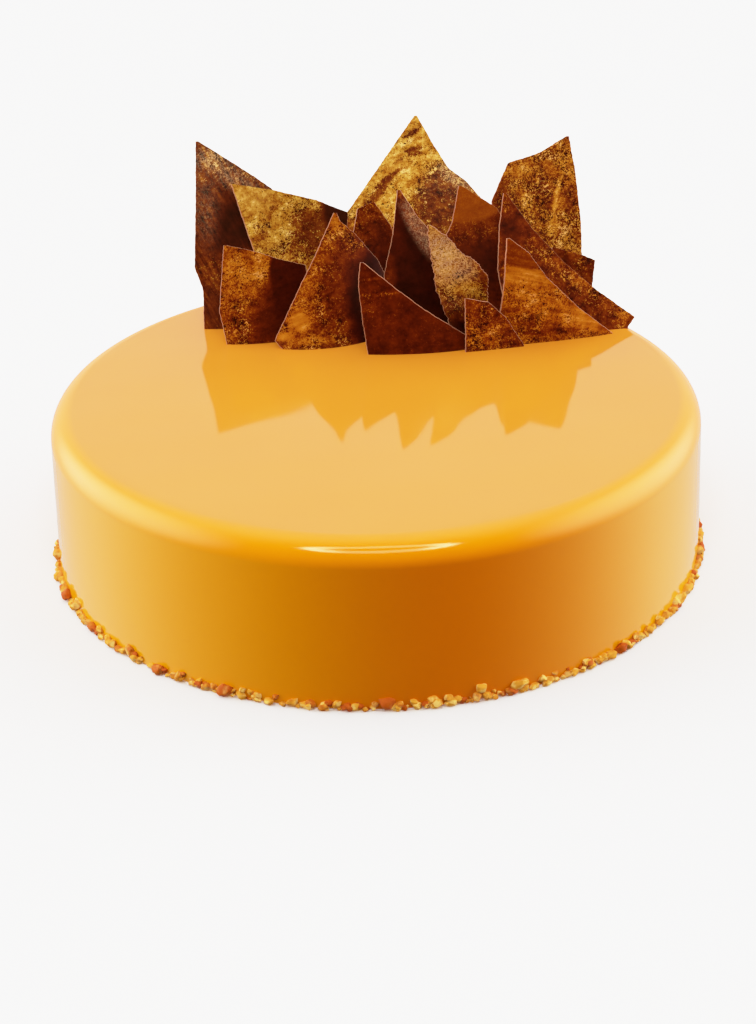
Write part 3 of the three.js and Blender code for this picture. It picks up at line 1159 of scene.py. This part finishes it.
@dataclass
class ShardCrown(SubAssembly):
    """The crown of plates, each pushed a little way into the glaze.

    Plates, and the two faces of a plate, lie some way apart in the noise of their powder.
    """

    height: float
    shards: tuple[Shard, ...] = SHARDS
    thickness: float = 1.2
    sink: float = 4.0
    bow_span: float = 20.0
    columns: int = 80
    rows: int = 104
    walk_steps: int = 2000
    margin: float = 0.14
    widest_inset: float = 0.2
    least_width: float = 0.5
    bulge: float = 0.12
    seed: int = 715
    ripple: float = 0.12
    ripple_length: float = 34.0
    ripple_way: Pair = (0.6, 0.8)
    ripple_apart: float = 2.4
    calm_height: float = 8.0
    calm_width: float = 5.0
    crumbly_lengths: tuple[float, ...] = (9.0, 4.1, 2.3, 1.3)
    crumbly_swing: Pair = (0.5, 1.0)
    comb_stretch: float = 7.0
    plate_apart: float = 17.0
    face_apart: float = 7.0
    finish: DustedChocolate = field(default_factory=DustedChocolate)

    def row_heights(self, shard: Shard) -> Array:
        """Space the rows evenly along the run of the two edges together.

        Args:
            shard: the plate.

        Returns:
            Heights on the plate from the sunk foot to the tip.
        """
        fine = np.linspace(-self.sink, shard.left[0][1], self.walk_steps)
        sides = (shard.left, shard.right)
        run = sum(np.abs(np.gradient(self.edge(side, fine), fine)) for side in sides)
        walked = np.concatenate([[0.0], np.cumsum(1.0 + run)[:-1]])
        return np.interp(np.linspace(0.0, walked[-1], self.rows), walked, fine)

    @staticmethod
    def edge(corners: Sequence[Pair], up: Array) -> Array:
        """Read a snapped edge's across-position at heights, straight between its corners."""
        table = np.array(corners[::-1], dtype=float)
        return np.interp(up, table[:, 1], table[:, 0])

    def snapped(self, shard: Shard, up: Array, side: int, rng: Random) -> Array:
        """Give one crumbly edge: the straight one moved along its normal by a sum of sines.

        Args:
            shard: the plate.
            up: heights of the rows.
            side: minus one for the left edge, one for the right.
            rng: source of the sines' phases.

        Returns:
            Across and up for each row.
        """
        across = self.edge(shard.left if side < 0 else shard.right, up)
        width = self.edge(shard.right, up) - self.edge(shard.left, up)
        slope = np.stack([np.gradient(across, up), np.ones_like(up)], axis=-1)
        slope /= np.linalg.norm(slope, axis=-1, keepdims=True)
        walked = np.concatenate([[0.0], np.cumsum(np.hypot(np.diff(across), np.diff(up)))])
        push = np.zeros_like(up)
        for length in self.crumbly_lengths:
            push += np.sin(TURN * (walked / length + rng.uniform())) * rng.uniform(*self.crumbly_swing)
        push *= shard.ragged * np.clip(width / self.calm_width, 0.0, 1.0)
        outward = side * np.stack([slope[:, 1], -slope[:, 0]], axis=-1)
        return np.stack([across, up], axis=-1) + push[:, None] * outward

    def section(self, shard: Shard, number: int) -> Array:
        """Lay closed rings round the flat plate, from the sunk foot to the tip.

        A ring runs straight along the front face from the left edge to the right one, round the
        bulging break, back along the rear face and round the other break. A narrow strip of the
        faces at each edge is broken too.

        Args:
            shard: the plate.
            number: its place in the crown.

        Returns:
            Across and up, by rings and points.
        """
        rng = np.random.default_rng(self.seed + number)
        up = self.row_heights(shard)
        left, right = [self.snapped(shard, up, side, rng) for side in (-1, 1)]
        width = np.maximum(right[:, :1] - left[:, :1], self.least_width)
        inset = np.minimum(self.margin / width, self.widest_inset)
        share = inset + (1 - 2 * inset) * np.linspace(0.0, 1.0, self.columns - 2)
        share = np.concatenate([np.zeros_like(inset), share, np.ones_like(inset)], axis=1)[..., None]
        flat = left[:, None] * (1 - share) + right[:, None] * share
        bulge = np.array([self.bulge, 0.0])
        breaks = [(right + bulge)[:, None], (left - bulge)[:, None]]
        return np.concatenate([flat, breaks[0], flat[:, ::-1], breaks[1]], axis=1)

    def faces(self) -> list[Array]:
        """Number the faces of a plate: its rings, and a strip that closes each end.

        Returns:
            The quads between the rings, and the quads and triangles of the foot and the tip.
        """
        size = self.columns
        ring = np.arange(2 * size + 2)
        front = ring[:size]
        back = ring[size + 1:2 * size + 1][::-1]
        strip = np.stack([front[1:], front[:-1], back[:-1], back[1:]], axis=-1)
        ends = np.array([[back[-1], size, front[-1]], [front[0], 2 * size + 1, back[0]]])
        tip = (self.rows - 1) * len(ring)
        shell = ring_quads(self.rows, len(ring))
        return [shell, strip, strip[:, ::-1] + tip, ends, ends[:, ::-1] + tip]

    def powder(self, shard: Shard, across: Array, up: Array) -> Array:
        """Lay the patches one over another on the plate's base cover.

        Args:
            shard: the plate.
            across: places across the plate.
            up: places up the plate.

        Returns:
            Level, spread, painted sheen and brush for each place.
        """
        made = np.tile(np.array(shard.base.value), across.shape + (1,))
        for patch in shard.patches:
            weight = patch.weight(across, up)[..., None]
            made = made * (1 - weight) + np.array(patch.powder.value) * weight
        return np.concatenate([made, np.full(across.shape + (1,), shard.brush)], axis=-1)

    def cover(self, shard: Shard, number: int, across: Array, up: Array) -> dict[str, Array]:
        """Work out what the finish reads at each point. The rear face is seen from behind.

        Places along the brush's heading are drawn together, so that its marks come out long.

        Args:
            shard: the plate.
            number: its place in the crown.
            across: places across the plate.
            up: places up the plate.

        Returns:
            Values, vectors and colours for the points, by name.
        """
        size = self.columns
        ring = np.arange(2 * size + 2)
        behind = (ring > size) & (ring < 2 * size + 1)
        seen = np.where(behind, -across, across)
        apart = np.broadcast_to(self.plate_apart * number + self.face_apart * behind, across.shape)
        cosine, sine = math.cos(math.radians(shard.comb)), math.sin(math.radians(shard.comb))
        along = (seen * cosine + up * sine) / self.comb_stretch
        # The edge points of each ring take the bare break with its pale painted highlight
        broken = np.isin(ring, [0, size - 1, size, size + 1, 2 * size, 2 * size + 1])
        return {
            "plate": np.stack([seen, up, apart], axis=-1).reshape(-1, 3),
            "stroke": np.stack([along, up * cosine - seen * sine, apart], axis=-1).reshape(-1, 3),
            "powder": self.powder(shard, seen, up).reshape(-1, 4),
            "snapped": np.broadcast_to(broken.astype(float), across.shape).ravel(),
            "gilt": np.full(across.size, shard.gilt),
        }

    def plate(self, shard: Shard, number: int, material: Material) -> Piece:
        """Build one plate: its two faces lie half a thickness either side of a curled sheet.

        The sheet curls back by the square of the distance from its middle. It also ripples, by
        a sine wave that fades towards the foot.

        Args:
            shard: the plate.
            number: its place in the crown.
            material: finish of the plates.

        Returns:
            The plate as one closed piece.
        """
        section = self.section(shard, number)
        across, up = section[..., 0], section[..., 1]
        half = np.full(self.columns, self.thickness / 2)
        through = np.concatenate([-half, [0.0], half, [0.0]])
        along = self.ripple_way[0] * across + self.ripple_way[1] * up
        wave = np.sin(TURN * along / self.ripple_length + self.ripple_apart * number)
        calm = np.clip(up / self.calm_height, 0.0, 1.0)
        depth = shard.bow * (across / self.bow_span) ** 2 + self.ripple * calm * wave + through
        return make_piece(
            "chocolate_" + shard.label, self.stand(shard, across, depth, up), self.faces(), material,
            self.cover(shard, number, across, up), sharp_angle=35.0,
        )

    def stand(self, shard: Shard, across: Array, depth: Array, up: Array) -> Array:
        """Lean a plate back, turn it about the upright and set it on its foot point.

        Args:
            shard: the plate.
            across: places across it.
            depth: places through it.
            up: places up it.

        Returns:
            Places in the part's frame.
        """
        lean, turn = math.radians(shard.lean), math.radians(shard.turn)
        behind = math.cos(lean) * depth + math.sin(lean) * up
        above = math.cos(lean) * up - math.sin(lean) * depth
        x = shard.foot[0] + math.cos(turn) * across - math.sin(turn) * behind
        y = shard.foot[1] + math.sin(turn) * across + math.cos(turn) * behind
        return np.stack([x, y, self.height + above], axis=-1)

    def build(self) -> list[tuple[Piece, str]]:
        """Build every plate.

        Returns:
            Each plate with the name of the solid that it stands for.
        """
        material = self.finish.material()
        return [
            (self.plate(shard, number, material), shard.node)
            for number, shard in enumerate(self.shards)
        ]


@dataclass(frozen=True)
class WhiteTent:
    """Soft light all round: two broad side panels, a bright back, a dark front and a lamp over it.

    Strengths are radiances. A direction has x to the right, y to the back and z up, and a turn is
    where a light starts to change along a direction and where it has changed.
    """

    above_front: float = 0.0
    above_back: float = 1.75
    above_turn: Pair = (-0.49, 0.39)
    below_front: float = 0.075
    below_back: float = 1.42
    below_turn: Pair = (-0.85, 0.11)
    rear_share: float = 0.40
    rear_turn: Pair = (0.2, 0.9)
    level_turn: Pair = (-1.6, 1.6)
    left_panel: float = 4.93
    right_panel: float = 4.35
    side_turn: Pair = (-0.1, 0.1)
    panel_way: tuple[float, float, float] = (0.969, 0.099, 0.229)
    panel_turn: Pair = (0.65, 1.0)
    panel_foot: Pair = (-0.51, 0.39)
    lamp_back: float = -0.51
    lamp_outer: Pair = (0.34, 0.22)
    lamp_inner: Pair = (0.22, 0.07)
    outer_turn: Pair = (0.85, 1.1)
    inner_turn: Pair = (0.8, 1.4)
    lamp_middle: float = 5.8
    lamp_ends: float = 23.0
    ends_turn: Pair = (0.14, 0.30)
    overhead_turn: Pair = (0.0, 0.01)
    colour: str = "#ffffff"

    def lights(self, tree: Tree) -> dict[str, Node]:
        """Let each strength and each share of a light change smoothly along its direction.

        Args:
            tree: nodes of the sky.

        Returns:
            The strengths and shares, by name.
        """
        way = add_node(tree, "TexCoord").outputs["Generated"]
        x, y, z = add_node(tree, "SeparateXYZ", {"Vector": way}).outputs
        mirrored = add_node(tree, "VectorMath", {0: way}, operation="ABSOLUTE")
        outward = add_node(tree, "SeparateXYZ", {"Vector": mirrored}).outputs["X"]
        folded = add_node(tree, "CombineXYZ", {0: outward, 1: y, 2: z})
        facing = add_node(tree, "VectorMath", {0: folded, 1: self.panel_way}, operation="DOT_PRODUCT")
        far = {}
        for name, reach in {"outer": self.lamp_outer, "inner": self.lamp_inner}.items():
            oval = add_node(tree, "VectorMath", {
                0: way, 1: (1 / reach[0], 1 / reach[1], 0.0),
                2: (0.0, -self.lamp_back / reach[1], 0.0),
            }, operation="MULTIPLY_ADD")
            far[name] = add_node(tree, "VectorMath", {0: oval}, operation="LENGTH")
        turns = {
            "above": (y, self.above_turn, self.above_front, self.above_back),
            "below": (y, self.below_turn, self.below_front, self.below_back),
            "rear": (y, self.rear_turn, 1.0, self.rear_share),
            "level": (z, self.level_turn, 0.0, 1.0),
            "panel": (facing, self.panel_turn, 0.0, 1.0),
            "foot": (z, self.panel_foot, 0.0, 1.0),
            "side": (x, self.side_turn, self.left_panel, self.right_panel),
            "outer": (far["outer"], self.outer_turn, 1.0, 0.0),
            "inner": (far["inner"], self.inner_turn, 0.0, 1.0),
            "lamp": (outward, self.ends_turn, self.lamp_middle, self.lamp_ends),
            "overhead": (z, self.overhead_turn, 0.0, 1.0),
        }
        return {
            name: add_node(tree, "MapRange", {
                "Value": along, "From Min": turn[0], "From Max": turn[1],
                "To Min": start, "To Max": end,
            }, interpolation_type="SMOOTHSTEP")
            for name, (along, turn, start, end) in turns.items()
        }

    def build(self) -> bpy.types.World:
        """Paint the light on the sky.

        The tent fades from below to above and from front to back. The panels are soft discs at
        either side. The lamp is a flat oval ring, brighter towards its two ends.

        Returns:
            The world that the scene now uses.
        """
        world = bpy.data.worlds.new("white_tent")
        bpy.context.scene.world = world
        world.use_nodes = True
        tree = world.node_tree
        tree.nodes.clear()
        light = self.lights(tree)
        below = add_node(tree, "Math", {0: light["below"], 1: light["rear"]}, operation="MULTIPLY")
        strength = add_node(tree, "Mix", {0: light["level"], 2: below, 3: light["above"]})
        for shares in (("panel", "foot", "side"), ("outer", "inner", "lamp", "overhead")):
            glint = light[shares[0]]
            for share in shares[1:]:
                glint = add_node(tree, "Math", {0: glint, 1: light[share]}, operation="MULTIPLY")
            strength = add_node(tree, "Math", {0: strength, 1: glint}, operation="ADD")
        glow = add_node(tree, "Background", {"Color": linear(self.colour), "Strength": strength})
        add_node(tree, "OutputWorld", {"Surface": glow})
        return world


@dataclass(frozen=True)
class Film:
    """Tone of the picture: plain in the shadows, with a shoulder that eases light into white.

    A shown value takes the light of that value times one plus a share that grows towards white.
    The tone goes on the curve for all colours together.
    """

    share: float = 0.11
    power: float = 2.7
    white: float = 1.03
    brightest: float = 0.99
    steps: int = 16
    curve_number: int = 3

    def load(self) -> None:
        """Put the shoulder's points into the scene's tone curve."""
        shown = self.brightest * np.sin(np.linspace(0.0, math.pi / 2, self.steps))
        light = shown * (1 + self.share * shown ** self.power / (self.white - shown))
        view = bpy.context.scene.view_settings
        view.view_transform = "Standard"
        view.use_curve_mapping = True
        tone = view.curve_mapping
        tone.clip_max_x = float(light[-1])
        curve = tone.curves[self.curve_number]
        curve.points[-1].location = (float(light[-1]), float(shown[-1]))
        for bright, seen in zip(light[1:-1], shown[1:-1]):
            curve.points.new(float(bright), float(seen))
        tone.update()


@dataclass
class Studio:
    """Camera, room, soft light and tone of the picture."""

    focal_px: float = 1720.0
    image_height_px: float = 1024.0
    sensor: float = 36.0
    pitch: float = 28.2
    roll: float = -1.59
    distance: float = 608.4
    target: tuple[float, float, float] = (-0.1, 0.0, 7.0)
    floor_radius: float = 9000.0
    floor_sides: int = 96
    wall_height: float = 6000.0
    floor_paint: MattPaint = MattPaint()
    wall_paint: MattPaint = MattPaint("back_lit_screen", colour="#000000", glow=1.9)
    tent: WhiteTent = field(default_factory=WhiteTent)
    film: Film = field(default_factory=Film)

    def build_camera(self) -> Piece:
        """Aim the camera down at the cake, rolled a little about its line of sight.

        Returns:
            The camera that the scene now uses.
        """
        pitch, roll = math.radians(self.pitch), math.radians(self.roll)
        forward = Vector((0.0, math.cos(pitch), -math.sin(pitch)))
        level, rise = Vector((1.0, 0.0, 0.0)), Vector((0.0, math.sin(pitch), math.cos(pitch)))
        right = math.cos(roll) * level + math.sin(roll) * rise
        upward = math.cos(roll) * rise - math.sin(roll) * level
        data = bpy.data.cameras.new("view")
        data.sensor_width = self.sensor
        data.lens = self.focal_px * self.sensor / self.image_height_px
        camera = bpy.data.objects.new("view", data)
        place = (Vector(self.target) - self.distance * forward) * MM
        turned = Matrix((right, upward, -forward)).transposed().to_4x4()
        camera.matrix_world = Matrix.Translation(place) @ turned
        bpy.context.scene.collection.objects.link(camera)
        bpy.context.scene.camera = camera
        return camera

    def build_room(self) -> list[Piece]:
        """Lay a pale disc under the cake's foot, with a back-lit round wall at its rim.

        The camera sees both. They throw no light or shadow on the cake, and the glaze mirrors
        the tent instead of them.

        Returns:
            The floor and the wall.
        """
        angle = TURN * np.arange(self.floor_sides) / self.floor_sides
        rim = np.stack([np.cos(angle), np.sin(angle), np.zeros_like(angle)], axis=-1)
        rim = rim * self.floor_radius
        disc = [np.arange(self.floor_sides)[None]]
        floor = make_piece("floor", rim, disc, self.floor_paint.material())
        rings = np.concatenate([rim + np.array([0.0, 0.0, self.wall_height]), rim])
        around = [ring_quads(2, self.floor_sides)]
        wall = make_piece("backdrop", rings, around, self.wall_paint.material())
        for piece in (floor, wall):
            piece.visible_diffuse = False
            piece.visible_glossy = False
            piece.visible_shadow = False
        return [floor, wall]

    def build(self) -> None:
        """Set the camera, the room, the light and the tone."""
        self.build_camera()
        self.build_room()
        self.tent.build()
        self.film.load()


def main() -> None:
    """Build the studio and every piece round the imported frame, and keep both boxes' sizes."""
    logging.basicConfig(level=logging.INFO, format="%(name)s %(message)s")
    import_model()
    foot_low, cake_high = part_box("cake")
    _, shard_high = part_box("shard_back_centre")
    log.info("solids stand from %.4f to %.4f m", foot_low.z, shard_high.z)
    Studio().build()
    cake = GlazedCake(height=round(cake_high.z / MM, 2))
    cake.dress(cake.build(), "cake", "mirror_glaze")
    nuts = ChoppedNuts(cake.foot_radius)
    nuts.dress(nuts.build(), "cake", "toasted_nut")
    crown = ShardCrown(cake.height)
    for piece, node in crown.build():
        crown.dress(piece, node, "dusted_chocolate")
    bpy.context.view_layer.update()


if __name__ == "__main__":
    main()
